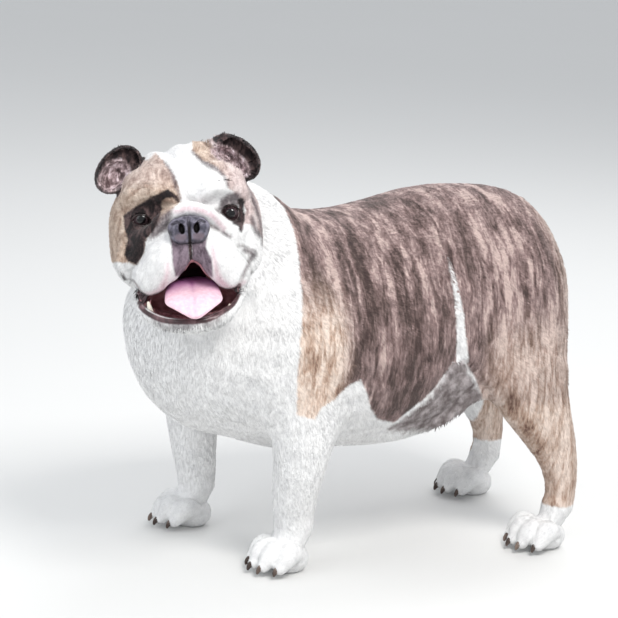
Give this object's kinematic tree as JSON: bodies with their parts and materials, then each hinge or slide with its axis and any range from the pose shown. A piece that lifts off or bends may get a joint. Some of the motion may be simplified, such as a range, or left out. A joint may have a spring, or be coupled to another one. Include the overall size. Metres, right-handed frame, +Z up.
{
  "type": "english bulldog",
  "caption": "Life-size standing English bulldog with its head turned to its left and its mouth open, a still museum-like model on four paws.",
  "frame": {"origin": "on the floor, under the middle of the model's outer box", "axes": "+Z up, the body faces -Y, the dog's left side is +X"},
  "size_m": [0.3442, 0.636, 0.4884],
  "materials": {
    "white_coat": "short, flat white fur",
    "brindle_coat": "short, flat fur, mauve-brown with tan and dark brindle stripes",
    "ear_skin": "thin dark velvet skin, pink inside",
    "nose_leather": "damp, finely pebbled",
    "tongue": "wet, soft",
    "eye": "wet, dark brown",
    "claw": "worn horn, half gloss"
  },
  "bodies": {
    "root": {"head": "white_coat", "neck": "white_coat", "torso": "brindle_coat", "tail": "brindle_coat", "foreleg_left": "white_coat", "forepaw_left": "white_coat", "hindleg_left": "brindle_coat", "hindpaw_left": "white_coat", "ear_left": "ear_skin", "eye_left": "eye", "foreleg_right": "white_coat", "forepaw_right": "white_coat", "hindleg_right": "brindle_coat", "hindpaw_right": "white_coat", "ear_right": "ear_skin", "eye_right": "eye", "nose": "nose_leather", "tongue": "tongue", "foreclaw_left_1": "claw", "foreclaw_left_2": "claw", "foreclaw_left_3": "claw", "foreclaw_left_4": "claw", "foreclaw_right_1": "claw", "foreclaw_right_2": "claw", "foreclaw_right_3": "claw", "foreclaw_right_4": "claw", "hindclaw_left_1": "claw", "hindclaw_left_2": "claw", "hindclaw_left_3": "claw", "hindclaw_left_4": "claw", "hindclaw_right_1": "claw", "hindclaw_right_2": "claw", "hindclaw_right_3": "claw", "hindclaw_right_4": "claw"}
  },
  "joints": []
}
